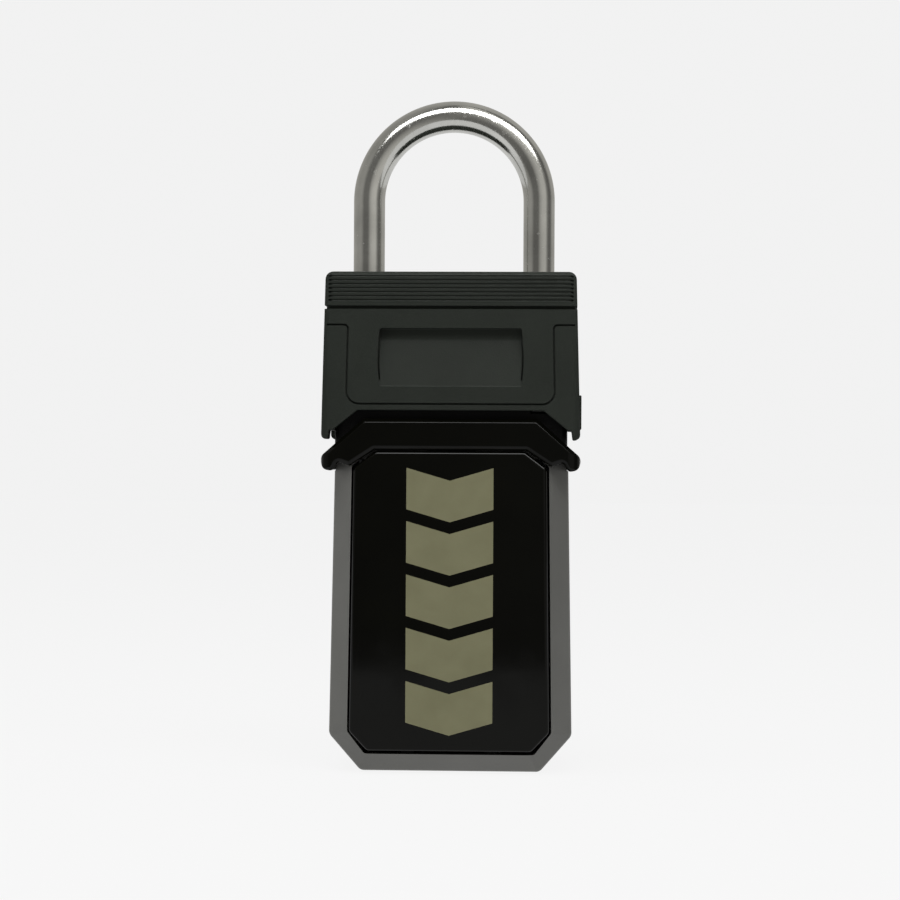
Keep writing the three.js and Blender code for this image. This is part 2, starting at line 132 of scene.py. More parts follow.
def inset(points, distance):
    """An outline moved inward by one distance, corner for corner."""
    area = sum(a.x * b.y - b.x * a.y for a, b in zip(points, points[1:] + points[:1]))
    inward = 1 if area > 0 else -1
    moved = []
    for i, here in enumerate(points):
        before = (here - points[i - 1]).normalized()
        after = (points[(i + 1) % len(points)] - here).normalized()
        bisector = Vector((-before.y - after.y, before.x + after.x)).normalized()
        stretch = bisector.dot(Vector((-after.y, after.x)))
        moved.append(here + bisector * inward * distance / stretch)
    return moved


def add_object(name, data):
    """An object of some data, in the scene."""
    made = bpy.data.objects.new(name, data)
    bpy.context.scene.collection.objects.link(made)
    return made


def from_bmesh(mesh, name="tool"):
    bmesh.ops.recalc_face_normals(mesh, faces=mesh.faces)
    data = bpy.data.meshes.new(name)
    mesh.to_mesh(data)
    mesh.free()
    return add_object(name, data)


def bridged(rings):
    """A solid through rings of matching points in space, capped at both ends."""
    mesh = bmesh.new()
    loops = [[mesh.verts.new(point * MM) for point in ring] for ring in rings]
    mesh.faces.new(loops[0])
    mesh.faces.new(loops[-1])
    for a, b in zip(loops, loops[1:]):
        for i in range(len(a)):
            mesh.faces.new((a[i - 1], a[i], b[i], b[i - 1]))
    return from_bmesh(mesh)


PLANES = {
    "front": lambda u, v, w: (u, w, v),
    "plan": lambda u, v, w: (u, v, w),
    "side": lambda u, v, w: (w, u, v),
}


def loft(outlines, plane):
    """A solid through flat outlines of matching points, each (points, w)."""
    place = PLANES[plane]
    return bridged([[Vector(place(u, v, w)) for u, v in points] for points, w in outlines])


def prism(points, plane, span):
    return loft([(points, w) for w in span], plane)


def rimmed(points, plane, span, rim):
    """A prism whose two faces have shaped rims, each rim a path of (inward, depth) points."""
    near = [(inset(points, inward), span[0] + depth) for inward, depth in rim]
    far = [(inset(points, inward), span[1] - depth) for inward, depth in rim[::-1]]
    return loft(near + far, plane)


def pillow(points, plane, span, radius, steps=5):
    """A prism whose two faces have rounded rims."""
    turns = [math.pi / 2 * k / steps for k in range(steps + 1)]
    rim = [(radius * (1 - math.sin(a)), radius * (1 - math.cos(a))) for a in turns]
    return rimmed(points, plane, span, rim)


def chamfered(points, plane, span, size, edge_radius):
    """A prism whose two faces have a flat chamfer round them, with softly rounded edges."""
    corners = [(2 * size, 0), (size, 0, edge_radius), (0, size, edge_radius), (0, 2 * size)]
    return rimmed(points, plane, span, rounded(corners, 4, closed=False)[1:-1])


def cuboid(x, y, z):
    corners = [(x[0], y[0]), (x[1], y[0]), (x[1], y[1]), (x[0], y[1])]
    return prism([Vector(c) for c in corners], "plan", z)


def turns_round(sides):
    return [2 * math.pi * k / sides for k in range(sides)]


def circle(centre, radius, sides):
    turns = turns_round(sides)
    return [Vector(centre) + radius * Vector((math.cos(a), math.sin(a))) for a in turns]


def bar(plane, centre, radius, span, sides=48):
    return prism(circle(centre, radius, sides), plane, span)


def sweep_ring(path, profile):
    """A closed band round a plan path, its section given as (outward, z) points."""
    mesh = bmesh.new()
    normals = side_normals(path)
    sections = []
    for here, normal in zip(path, normals):
        places = [(here + normal * out, z) for out, z in profile]
        sections.append([mesh.verts.new(Vector((p.x, p.y, z)) * MM) for p, z in places])
    for i in range(len(sections)):
        a, b = sections[i - 1], sections[i]
        for k in range(len(profile)):
            mesh.faces.new((a[k - 1], a[k], b[k], b[k - 1]))
    return from_bmesh(mesh)


def bake(piece):
    graph = bpy.context.evaluated_depsgraph_get()
    data = bpy.data.meshes.new_from_object(piece.evaluated_get(graph))
    piece.modifiers.clear()
    piece.data = data
    return piece


def combine(target, tools, operation="DIFFERENCE"):
    for tool in tools:
        modifier = target.modifiers.new("combine", "BOOLEAN")
        modifier.operation = operation
        modifier.solver = "EXACT"
        modifier.object = tool
    bake(target)
    for tool in tools:
        bpy.data.objects.remove(tool)
    return target


def joined(pieces):
    """Pieces made into one, their faces left as they are."""
    with bpy.context.temp_override(active_object=pieces[0], selected_editable_objects=pieces):
        bpy.ops.object.join()
    return pieces[0]


def soften(piece, width, segments, angle):
    """Rounds the edges sharper than angle, and keeps the result."""
    modifier = piece.modifiers.new("soften", "BEVEL")
    modifier.width = width * MM
    modifier.segments = segments
    modifier.limit_method = "ANGLE"
    modifier.angle_limit = math.radians(angle)
    return bake(piece)


def shade(piece, angle=20):
    """Smooth shading that keeps flats flat and edges sharper than angle crisp."""
    piece.data.shade_smooth()
    piece.data.set_sharp_from_angle(angle=math.radians(angle))
    normals = piece.modifiers.new("normals", "WEIGHTED_NORMAL")
    normals.keep_sharp = True
    normals.weight = 80
    return piece


def dress(piece, name, body, look, stands_for=()):
    """Names a finished piece, gives it its material and puts it on its body."""
    piece.name = name
    piece.data.name = name
    piece.data.materials.clear()
    piece.data.materials.append(look)
    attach(piece, body)
    if stands_for:
        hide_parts(*stands_for)


# ---- Materials ----------------------------------------------------------------------------------


class Look:
    """A procedural finish: one Principled shader with noise on its colour, gloss and surface."""

    def __init__(self, name, **sockets):
        self.material = bpy.data.materials.new(name)
        self.material.use_nodes = True
        self.nodes = self.material.node_tree.nodes
        self.links = self.material.node_tree.links
        self.shader = self.nodes["Principled BSDF"]
        for socket, value in sockets.items():
            self.shader.inputs[socket.replace("_", " ")].default_value = value
        self.place = self.nodes.new("ShaderNodeTexCoord").outputs["Object"]

    def noise(self, size_mm, detail, stretch=(1, 1, 1)):
        """Noise with spots of about size_mm, drawn out along an axis where stretch is small."""
        mapping = self.nodes.new("ShaderNodeMapping")
        mapping.inputs["Scale"].default_value = stretch
        self.links.new(self.place, mapping.inputs["Vector"])
        noise = self.nodes.new("ShaderNodeTexNoise")
        noise.inputs["Scale"].default_value = 1 / (size_mm * MM)
        noise.inputs["Detail"].default_value = detail
        self.links.new(mapping.outputs["Vector"], noise.inputs["Vector"])
        return noise.outputs["Fac"]

    def edges(self):
        """One within reach of a sharp edge, where the paint wears thin, and zero on flats."""
        reach_mm = 0.35
        blunt = self.nodes.new("ShaderNodeBevel")
        blunt.samples = 4
        blunt.inputs["Radius"].default_value = reach_mm * MM
        agree = self.nodes.new("ShaderNodeVectorMath")
        agree.operation = "DOT_PRODUCT"
        self.links.new(blunt.outputs["Normal"], agree.inputs[0])
        self.links.new(self.nodes.new("ShaderNodeNewGeometry").outputs["Normal"], agree.inputs[1])
        return self.remap(agree.outputs["Value"], 0.8, 0.98, 1, 0)

    def remap(self, value, low, high, to_low, to_high):
        """A value stretched from one range to another, and held inside it."""
        node = self.nodes.new("ShaderNodeMapRange")
        limits = {"From Min": low, "From Max": high, "To Min": to_low, "To Max": to_high}
        for socket, number in limits.items():
            node.inputs[socket].default_value = number
        self.links.new(value, node.inputs["Value"])
        return node.outputs["Result"]

    def math(self, operation, a, b):
        node = self.nodes.new("ShaderNodeMath")
        node.operation = operation
        for socket, value in zip(node.inputs, (a, b)):
            if isinstance(value, (int, float)):
                socket.default_value = value
            else:
                self.links.new(value, socket)
        return node.outputs["Value"]

    def tint(self, factor, first, second):
        """A colour between two, by factor."""
        node = self.nodes.new("ShaderNodeMix")
        node.data_type = "RGBA"
        self.links.new(factor, node.inputs["Factor"])
        for socket, value in zip((node.inputs[6], node.inputs[7]), (first, second)):
            if isinstance(value, tuple):
                socket.default_value = (*value, 1)
            else:
                self.links.new(value, socket)
        return node.outputs[2]

    def colour(self, output):
        self.links.new(output, self.shader.inputs["Base Color"])
        return self

    def gloss(self, output):
        self.links.new(output, self.shader.inputs["Roughness"])
        return self

    def relief(self, *layers):
        """Bumps, each (height output, strength, depth in mm), one over the other."""
        before = None
        for height, strength, depth_mm in layers:
            bump = self.nodes.new("ShaderNodeBump")
            bump.inputs["Strength"].default_value = strength
            bump.inputs["Distance"].default_value = depth_mm * MM
            self.links.new(height, bump.inputs["Height"])
            if before:
                self.links.new(before, bump.inputs["Normal"])
            before = bump.outputs["Normal"]
        self.links.new(before, self.shader.inputs["Normal"])
        return self


def rubber_look(name, dark, light):
    look = Look(name, Specular_IOR_Level=0.18)
    grain = look.noise(0.35, 4)
    clouds = look.noise(14, 3)
    speckle = look.remap(grain, 0.35, 0.65, -0.25, 0.25)
    patches = look.remap(clouds, 0.35, 0.7, 0.25, 0.8)
    look.colour(look.tint(look.math("ADD", patches, speckle), dark, light))
    look.gloss(look.remap(grain, 0.3, 0.7, 0.52, 0.72))
    return look.relief((grain, 0.5, 0.06), (look.noise(1.6, 2), 0.12, 0.1)).material


def gloss_look(name, dark, light):
    look = Look(name, Specular_IOR_Level=0.14)
    clouds = look.noise(22, 4)
    look.colour(look.tint(look.remap(clouds, 0.3, 0.75, 0, 1), dark, light))
    hairlines = look.noise(0.5, 2, (1, 1, 0.06))
    smudge = look.noise(9, 5)
    smears = look.remap(smudge, 0.4, 0.75, 0.06, 0.14)
    look.gloss(look.math("ADD", smears, look.remap(hairlines, 0.6, 0.8, 0, 0.05)))
    return look.relief((look.noise(6, 2), 0.05, 0.05), (hairlines, 0.02, 0.02)).material


def paint_look(name, dark, light, metallic=0.15, roughness=(0.36, 0.5), shine=0.5):
    look = Look(name, Metallic=metallic, Specular_IOR_Level=shine)
    flakes = look.noise(0.3, 3)
    clouds = look.noise(18, 3)
    base = look.tint(look.remap(clouds, 0.3, 0.7, 0, 1), dark, light)
    worn = tuple(1.5 * c for c in light)
    look.colour(look.tint(look.remap(look.edges(), 0, 1, 0, 0.3), base, worn))
    look.gloss(look.remap(flakes, 0.3, 0.7, *roughness))
    return look.relief((flakes, 0.12, 0.03), (look.noise(3, 2), 0.04, 0.06)).material


def metal_look(name, dark, light, roughness, stretch=(1, 1, 1), scratch=0.05):
    look = Look(name, Metallic=1.0)
    lines = look.noise(0.22, 3, stretch)
    clouds = look.noise(10, 3)
    specks = look.remap(look.noise(1.1, 2), 0.66, 0.72, 0, 1)
    look.colour(look.tint(look.remap(clouds, 0.3, 0.7, 0, 1), dark, light))
    base = look.remap(lines, 0.3, 0.7, *roughness)
    look.gloss(look.math("ADD", base, look.remap(specks, 0, 1, 0, 0.12)))
    return look.relief((lines, scratch, 0.02), (specks, 0.25, 0.03)).material


def plastic_look(name, dark, light, roughness=(0.45, 0.6)):
    look = Look(name, Specular_IOR_Level=0.45)
    grain = look.noise(0.25, 3)
    look.colour(look.tint(look.remap(look.noise(8, 3), 0.3, 0.7, 0, 1), dark, light))
    look.gloss(look.remap(grain, 0.3, 0.7, *roughness))
    return look.relief((grain, 0.2, 0.03)).material


rubber = rubber_look("cover_rubber", (0.0085, 0.0108, 0.0080), (0.0125, 0.0155, 0.0118))
seal_rubber = rubber_look("seal_rubber", (0.006, 0.006, 0.006), (0.010, 0.010, 0.010))
gloss_black = gloss_look("gloss_black", (0.0008, 0.0008, 0.0005), (0.0020, 0.0021, 0.0012))
grey_paint = paint_look("grey_paint", (0.100, 0.100, 0.092), (0.118, 0.118, 0.109))
# The lock head's own black casting, made near-black so it also stands for the shade in the gap under the
# cover's arch: partly painted shade. On the hinge lugs the same black is painted shade.
casting_and_gap_shade = paint_look(
    "black_casting_and_gap_shade", (0.001, 0.001, 0.001), (0.0022, 0.0022, 0.0021), 0, (0.4, 0.55), 0.1
)
steel = metal_look(
    "polished_steel", (0.50, 0.50, 0.475), (0.66, 0.66, 0.63), (0.10, 0.20), (1, 1, 0.3)
)
brushed = metal_look(
    "brushed_steel", (0.36, 0.36, 0.37), (0.48, 0.48, 0.49), (0.24, 0.42), (0.03, 1, 1), 0.2
)
spring = metal_look("spring_steel", (0.34, 0.35, 0.36), (0.46, 0.47, 0.48), (0.25, 0.4))
brass = metal_look("machined_brass", (0.52, 0.36, 0.12), (0.68, 0.48, 0.18), (0.2, 0.36), (1, 0.1, 1))
nylon = plastic_look("black_nylon", (0.010, 0.010, 0.010), (0.018, 0.018, 0.017))
wheel_plastic = plastic_look("wheel_plastic", (0.012, 0.012, 0.012), (0.020, 0.020, 0.019), (0.35, 0.5))
number_paint = plastic_look("number_paint", (0.70, 0.70, 0.66), (0.82, 0.82, 0.78), (0.4, 0.55))
olive_print = plastic_look("olive_print", (0.134, 0.130, 0.066), (0.156, 0.151, 0.080), (0.5, 0.65))

# ---- Weather cover ------------------------------------------------------------------------------

cover_low, cover_high = box_mm("weather_cover")
leg_x = 21.8
leg_hole_radius = 4.35
side_edge_z = 86.2
flute_count = 7
flute_pitch = 1.0
first_flute_z = 118.75


def cover_plan(half_width, steps):
    """The cover's outline from above, drawn at one half width."""
    corners = plan_corners(half_width, cover_low.y, cover_high.y, 2.2, 3)
    return rounded(corners, steps)


def cover_block():
    """The hollow hood, its lower edge arched in front and stepped up at the sides."""
    top, bottom = cover_high.z, cover_low.z
    arch = bottom + 7.3
    front = mirrored([
        (0, top),
        (31.42, top, 2.1),
        (32.55, bottom, 1.3),
        (30.7, bottom, 0.4),
        (30.4, side_edge_z, 0.3),
        (29.5, side_edge_z, 0.5),
        (23.3, arch, 0.8),
        (0, arch),
    ])
    y0, y1 = cover_low.y, cover_high.y
    below = bottom - 5
    side = [(y0, below), (y0, top, 1.5), (y1, top, 1.5), (y1, below)]
    block = pillow(rounded(front), "front", (y0, y1), 0.25, 4)
    combine(block, [
        prism(rounded(side, 8), "side", (-40, 40)),
        prism(cover_plan(32.6, 6), "plan", (below, top + 5)),
    ], "INTERSECT")
    hollow = rounded(plan_corners(29.6, -14.4, 14.4, 2, 2))
    side_edges = cuboid((-40, 40), (-11.5, 11.5), (below, side_edge_z))
    return combine(block, [prism(hollow, "plan", (below, top - 2.2)), side_edges])


def side_pad(side):
    """A low pad with a row of grip ribs, near the lower edge of each side."""
    outline = rounded([(-9, 86.6, 1), (9, 86.6, 1), (9, 95.3, 1), (-9, 95.3, 1)])
    pad = pillow(outline, "side", sorted((side * 31, side * cover_high.x)), 0.3)
    depth = sorted((side * (cover_high.x - 0.3), side * 40))
    pitch, half_width = 3.2, 0.35
    grooves = []
    for i in range(-2, 3):
        y = pitch * i
        grooves.append(cuboid(depth, (y - half_width, y + half_width), (88, 94)))
    return combine(pad, grooves)


def scoop_tool():
    """The thumb scoop: deep under its upper edge, rising to its lower one, a deep line down each side."""
    surface = cover_low.y - 0.6
    floor = rounded([
        (surface, 112.2),
        (-15.2, 111.7, 0.5),
        (-15.0, 109, 3),
        (-16.75, 97.2, 0.5),
        (surface, 96.8),
    ], 8)
    low_z, height = 96.9, 14.9
    half_width, bow = 17.75, 0.55
    rise = [k / 8 for k in range(9)]
    edge = [(half_width + bow * math.sin(math.pi * t), low_z + height * t) for t in rise]
    edge[0] = (*edge[0], 0.7)
    edge[-1] = (*edge[-1], 0.7)
    opening = edge + [(-corner[0], *corner[1:]) for corner in reversed(edge)]
    tool = prism(floor, "side", (-20, 20))
    combine(tool, [prism(rounded(opening), "front", (-20, -10))], "INTERSECT")
    line_width = 0.4
    sides = []
    for side in (-1, 1):
        line = [Vector((side * (x - line_width / 2), z)) for x, z in edge[1:-1]]
        sides.append(prism(stripe(line, line_width), "front", (-18, -15.0)))
    return combine(tool, sides, "UNION")


def relief_line_tool():
    """The moulded line round the middle panel, with its turn outward at both shoulders."""
    shoulder_z, foot_z, foot_x = 112.6, 92.8, 26.15
    path = rounded([
        (-31.1, shoulder_z),
        (-25.75, shoulder_z, 1.0),
        (-foot_x, foot_z, 3.2),
        (foot_x, foot_z, 3.2),
        (25.75, shoulder_z, 1.0),
        (31.1, shoulder_z),
    ], 8, closed=False)
    width, depth = 0.48, 0.7
    return prism(stripe(path, width), "front", (-18, cover_low.y + depth))


def band_tools():
    """Seven shallow flutes round the top band and the deep groove under it."""
    outward, radius = 0.06, 0.31
    path = cover_plan(31.55, 8)
    tools = []
    for i in range(flute_count):
        flute = circle((outward, first_flute_z + flute_pitch * i), radius, 20)
        tools.append(sweep_ring(path, flute))
    groove = [(-0.9, 116.6), (0.8, 116.5), (0.8, 117.45), (-0.9, 117.35)]
    tools.append(sweep_ring(cover_plan(32.2, 8), groove))
    return tools


def weather_cover():
    cover = cover_block()
    combine(cover, [side_pad(-1), side_pad(1)], "UNION")
    holes = [bar("plan", (s * leg_x, 0), leg_hole_radius, (118, 130)) for s in (-1, 1)]
    combine(cover, [*holes, *band_tools(), relief_line_tool(), scoop_tool()])
    return shade(cover)


cover = weather_cover()
dress(cover, "weather_cover_moulding", "weather_cover", rubber, ["weather_cover"])

# ---- Shackle ------------------------------------------------------------------------------------

bar_radius = 4.0
arch_z = 145.0
heel_z = box_mm("shackle")[0].z


def shackle_bar():
    """One round bar: up the heel leg, over the arch and down the toe leg."""
    sides, leg_step, arc_steps = 64, 6, 72
    chamfer = 0.6
    toe_z = 112.0
    stations = []
    for z, radius in ((heel_z, bar_radius - chamfer), (heel_z + chamfer, bar_radius)):
        stations.append((Vector((-leg_x, 0, z)), 0.0, radius))
    for z in range(int(heel_z) + 4, int(arch_z), leg_step):
        stations.append((Vector((-leg_x, 0, z)), 0.0, bar_radius))
    for k in range(arc_steps + 1):
        turn = math.pi * k / arc_steps
        centre = Vector((-leg_x * math.cos(turn), 0, arch_z + leg_x * math.sin(turn)))
        stations.append((centre, turn, bar_radius))
    for z in range(int(arch_z) - 5, int(toe_z) + 2, -leg_step):
        stations.append((Vector((leg_x, 0, z)), math.pi, bar_radius))
    for z, radius in ((toe_z + chamfer, bar_radius), (toe_z, bar_radius - chamfer)):
        stations.append((Vector((leg_x, 0, z)), math.pi, radius))
    rings = []
    for centre, turn, radius in stations:
        outward = Vector((-math.cos(turn), 0, math.sin(turn)))
        ring = []
        for a in turns_round(sides):
            ring.append(centre + radius * (outward * math.cos(a) + Vector((0, math.sin(a), 0))))
        rings.append(ring)
    return bridged(rings)


def shackle():
    stop_flat = cuboid((-30, -24.2), (-5, 5), (98, 118.6))
    catch_notch = cuboid((15, 30), (2.8, 5), (114.8, 117.4))
    return shade(combine(shackle_bar(), [stop_flat, catch_notch]))


dress(shackle(), "shackle_bar", "shackle", steel, ["shackle"])

# ---- Collar, key case and door ------------------------------------------------------------------

collar_low, collar_high = box_mm("collar")
case_low, case_high = box_mm("key_case")
door_low, door_high = box_mm("door_panel")
_, hinge_y, hinge_z = (c / MM for c in joint_named("door_hinge")["pos_m"])
lug_x = 10.5
lug_half_width = 1.5
pin_bore_radius = 0.58


def collar_outline(margin):
    """The collar's front view, with its lower edge let down and its ends let out by a margin."""
    top = collar_high.z + 0.7
    straight = 81.25 - margin
    return rounded(mirrored([
        (0, top),
        (21.8, top, 2),
        (33 + margin, 79.2, 2.2),
        (32 + margin, 76.3 - margin, 1.8),
        (29.6, 75.9 - margin, 1.15),
        (28.2, 78.2 - margin, 0.9),
        (25.3, 77.2 - margin, 1.15),
        (19.1, straight, 0.9),
        (0, straight),
    ]), 8)


def collar():
    y0, y1 = collar_low.y, collar_high.y
    through = (60, 100)
    ring = chamfered(collar_outline(0), "front", (y0, y1), 0.95, 0.4)
    plan = rounded(plan_corners(collar_high.x, y0, y1, 3.2, 4), 10)
    combine(ring, [prism(plan, "plan", through)], "INTERSECT")
    return shade(combine(ring, [cuboid((-29.5, 29.5), (-14.3, 14.3), through)]), 30)


dress(collar(), "collar_ring", "safe_body", gloss_black, ["collar"])


def case_block():
    """The case's outer body, with its wide front bevel and rounded edges, still too tall."""
    top = 100.0
    half = [(29.2, top), (30.75, 9.2), (22.7, 0)]
    outline = [Vector(p) for p in half + [(-x, z) for x, z in half[::-1]]]
    front, bevel_end, back = case_low.y, -9.5, case_high.y
    bevel_width = 5.5
    outlines = [(inset(outline, bevel_width), front), (outline, bevel_end), (outline, back)]
    block = soften(loft(outlines, "front"), 0.8, 5, 25)
    plan = rounded(plan_corners(31, -30, back, 1, 4), 8)
    return combine(block, [prism(plan, "plan", (-5, 200))], "INTERSECT")


def case_tools():
    """What is cut from the case: its inside, the collar's seat, and the openings in its ledge."""
    compartment = rounded(mirrored([
        (0, 79),
        (25.9, 79, 1),
        (27, 10.4, 1.5),
        (21.2, 3.4, 1.5),
        (0, 3.4),
    ]))
    opening = rounded(mirrored([
        (0, 83),
        (19.1, 83),
        (19.1, 81.9),
        (24.8, 77.2, 0.9),
        (25.65, 10.4, 0.9),
        (21.4, 4.9, 0.9),
        (0, 4.9),
    ]))
    seat = prism(collar_outline(0.3), "front", (-20, 20))
    combine(seat, [cuboid((-29.2, 29.2), (-14, 14), (60, 120))])
    ledge, floor = (78, 82), (-1, 4)
    drains = ((12, 2), (-12, 2))
    case_screws = ((23.2, -3.5), (-22.5, -8), (12, 9.5), (-12, 9.5))
    strike_screws = ((-13, -10.1), (13, -10.1))
    return [
        cuboid((-40, 40), (-40, 40), (case_high.z, 120)),
        seat,
        prism(compartment, "front", (-12.2, 13.9)),
        prism(opening, "front", (-20, -12)),
        cuboid((-6, 6), (-13, -5), ledge),
        cuboid((-15.6, -6.4), (-3.6, 1.6), ledge),
        cuboid((19, 24.7), (6.4, 9), ledge),
        *[bar("plan", at, 1, floor, 24) for at in drains],
        *[bar("plan", at, 1.5, ledge, 24) for at in case_screws],
        *[bar("plan", at, 1, ledge, 24) for at in strike_screws],
    ]


def hinge_lug(side):
    span = (side * lug_x - lug_half_width, side * lug_x + lug_half_width)
    foot = rounded([
        (hinge_y, hinge_z - 0.7),
        (hinge_y + 1.2, hinge_z - 1),
        (hinge_y + 1.2, 4.5),
        (-12.4, 4.5),
        (-12.4, hinge_z + 0.5, 0.8),
        (hinge_y, hinge_z + 1),
    ])
    lug = bar("side", (hinge_y, hinge_z), 1.1, span, 32)
    return combine(lug, [prism(foot, "side", span)], "UNION")


def pin_bore(reach):
    return bar("side", (hinge_y, hinge_z), pin_bore_radius, (-reach, reach), 24)


def hinge_lugs():
    lugs = combine(hinge_lug(-1), [hinge_lug(1)], "UNION")
    return shade(combine(lugs, [pin_bore(20)]))


case = shade(combine(case_block(), case_tools()))
dress(case, "key_case_shell", "safe_body", grey_paint, ["key_case"])
# The lugs belong to the grey case; their black is painted shade, so they sink into the dark gap under the
# door.
dress(hinge_lugs(), "hinge_lugs", "safe_body", casting_and_gap_shade)


def door_panel():
    """The plate, its foot a little lower than the CAD model's, with slots for the hinge's lugs."""
    foot = door_low.z - 0.3
    front = rounded(mirrored([
        (0, door_high.z),
        (18.7, door_high.z, 1.6),
        (24.25, 76.8, 1.3),
        (25.1, 10.6, 1.6),
        (20.6, foot, 1.6),
        (0, foot),
    ]), 8)
    panel = pillow(front, "front", (door_low.y, door_high.y), 1.0, 8)
    reach = lug_half_width + 0.3
    middles = (-lug_x, lug_x)
    slots = [cuboid((x - reach, x + reach), (-15.95, -12), (5, 8.4)) for x in middles]
    return shade(combine(panel, [*slots, pin_bore(17)]))


dress(door_panel(), "door_plate", "key_door", gloss_black, ["door_panel"])


def printed_mark(low_z, height, half_width, back_y):
    """One printed bar with a downward point."""
    dip, thickness = 3.2, 0.04
    outline = [
        (-half_width, low_z + dip),
        (0, low_z),
        (half_width, low_z + dip),
        (half_width, low_z + height),
        (0, low_z + height - dip),
        (-half_width, low_z + height),
    ]
    return prism([Vector(p) for p in outline], "front", (back_y - thickness, back_y))


def door_print():
    """Five olive chevrons down the middle of the plate, as thin as paint."""
    count, low_z, pitch, height = 5, 9.8, 13.35, 13.6
    half_width = 10.9
    feet = [low_z + i * pitch for i in range(count)]
    return joined([printed_mark(z, height, half_width, door_low.y) for z in feet])


dress(door_print(), "door_print", "key_door", olive_print)

# ---- Carried-over pieces ------------------------------------------------------------------------


def finish_node(node, look, width):
    """Gives a CAD piece its material, small rounded edges and clean shading."""
    piece = frame["nodes"][node]
    piece.data.materials.clear()
    piece.data.materials.append(look)
    weld = piece.modifiers.new("weld", "WELD")
    weld.merge_threshold = 0.002 * MM
    flatten = piece.modifiers.new("flatten", "DECIMATE")
    flatten.decimate_type = "DISSOLVE"
    flatten.angle_limit = math.radians(0.5)
    if width:
        edge = piece.modifiers.new("edge", "BEVEL")
        edge.width = width * MM
        edge.segments = 2
        edge.limit_method = "ANGLE"
        edge.angle_limit = math.radians(40)
    smooth = piece.modifiers.new("normals", "WEIGHTED_NORMAL")
    smooth.keep_sharp = True


finishes = {
    "lock_head": (casting_and_gap_shade, 0.3),
    "head_rear_cover": (casting_and_gap_shade, 0.3),
    "dial_faceplate": (brushed, 0.12),
    "wheel_spindle": (steel, 0.1),
    "door_hinge_pin": (steel, 0.05),
    "door_inner_tray": (nylon, 0.2),
    "release_slider": (nylon, 0.2),
    "shackle_release_lever": (nylon, 0.15),
    "code_reset_lever": (nylon, 0.2),
    "fence_comb": (brass, 0.08),
    "detent_comb": (spring, 0.06),
    "strike_bar": (spring, 0.15),
    "heel_retaining_pin": (spring, 0.12),
    "shackle_catch": (spring, 0.08),
    "shackle_catch_screw": (spring, 0.1),
    "door_catch_spring": (spring, 0.1),
    "shackle_spring": (spring, 0),
    "shackle_gasket_left": (seal_rubber, 0.15),
    "shackle_gasket_right": (seal_rubber, 0.15),
}
for i in range(1, 5):
    finishes[f"code_hub_{i}"] = (brass, 0.08)
    finishes[f"door_screw_{i}"] = (spring, 0.12)
    finishes[f"case_screw_{i}"] = (spring, 0.15)
    finishes[f"rear_cover_rivet_{i}"] = (spring, 0.15)
for i in (1, 2):
    finishes[f"strike_bar_screw_{i}"] = (spring, 0.12)
for node, (look, width) in finishes.items():
    finish_node(node, look, width)

# ---- Release spring -----------------------------------------------------------------------------


def coil_spring(node, turns, wire_radius):
    """A coil of round wire that fills a node's box, most of a turn at each end lying flat."""
    sides, steps = 12, 28
    low, high = box_mm(node)
    centre = (low + high) / 2
    radius = (high.x - low.x) / 2 - wire_radius
    z0, z1 = low.z + wire_radius, high.z - wire_radius
    flat = 0.9
    rings = []
    for k in range(turns * steps + 1):
        turn = k / steps
        climb = min(max(turn - flat, 0), turns - 2 * flat) / (turns - 2 * flat)
        lie = 2 * wire_radius * (min(turn, flat) + max(turn - turns + flat, 0))
        z = z0 + lie + (z1 - z0 - 4 * wire_radius * flat) * climb
        outward = Vector((math.cos(2 * math.pi * turn), math.sin(2 * math.pi * turn), 0))
        ring = []
        for a in turns_round(sides):
            across = (radius + wire_radius * math.cos(a)) * outward
            ring.append(Vector((centre.x, centre.y, z + wire_radius * math.sin(a))) + across)
        rings.append(ring)
    return bridged(rings)


def release_spring():
    """The slider's spring, a fixed coil that fills its box on the body."""
    made = shade(coil_spring("release_spring", 6, 0.3))
    dress(made, "release_coil", "safe_body", spring, ["release_spring"])
    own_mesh(made)


release_spring()

# ---- Number wheels ------------------------------------------------------------------------------

wheel_radius = 8.3
wheel_bore_radius = 3.4
flat_count = 10
digit_size = 4.6
paint_depth = 0.03


def digit_mesh(digit):
    """A digit of paint, lying flat and facing up, its middle on the origin."""
    text = bpy.data.curves.new("digit", "FONT")
    text.body = str(digit)
    text.size = digit_size * MM
    text.align_x = "CENTER"
    text.align_y = "CENTER"
    text.extrude = paint_depth * MM
    made = add_object("digit", text)
    graph = bpy.context.evaluated_depsgraph_get()
    data = bpy.data.meshes.new_from_object(made.evaluated_get(graph))
    bpy.data.objects.remove(made)
    return data


def number_wheel(number):
    """A wheel with ten flats, and its digits standing on them as thin as paint."""
    low, high = box_mm(f"number_wheel_{number}")
    axis = joint_named(f"wheel_{number}_turn")["pos_m"]
    _, y, z = (c / MM for c in axis)
    wheel = bar("side", (y, z), wheel_radius, (low.x, high.x), flat_count)
    half_flat = Matrix.Rotation(math.pi / flat_count, 4, "X")
    centre = Matrix.Translation(axis)
    wheel.data.transform(centre @ half_flat @ centre.inverted())
    combine(wheel, [bar("side", (y, z), wheel_bore_radius, (low.x - 1, high.x + 1))])
    shade(soften(wheel, 0.3, 3, 30))
    body = f"wheel_{number}"
    dress(wheel, f"{body}_body", body, wheel_plastic, [f"number_wheel_{number}"])

    flat = wheel_radius * math.cos(math.pi / flat_count)
    upright = Matrix.Rotation(math.radians(90), 4, "X")
    outward = Matrix.Translation((0, -(flat + paint_depth) * MM, 0))
    digits = []
    for digit in range(flat_count):
        data = digit_mesh(digit)
        round_wheel = Matrix.Rotation(math.radians(360 / flat_count * digit), 4, "X")
        data.transform(centre @ round_wheel @ outward @ upright)
        digits.append(add_object("digit", data))
    dress(joined(digits), f"{body}_digits", body, number_paint)


for number in range(1, 5):
    number_wheel(number)


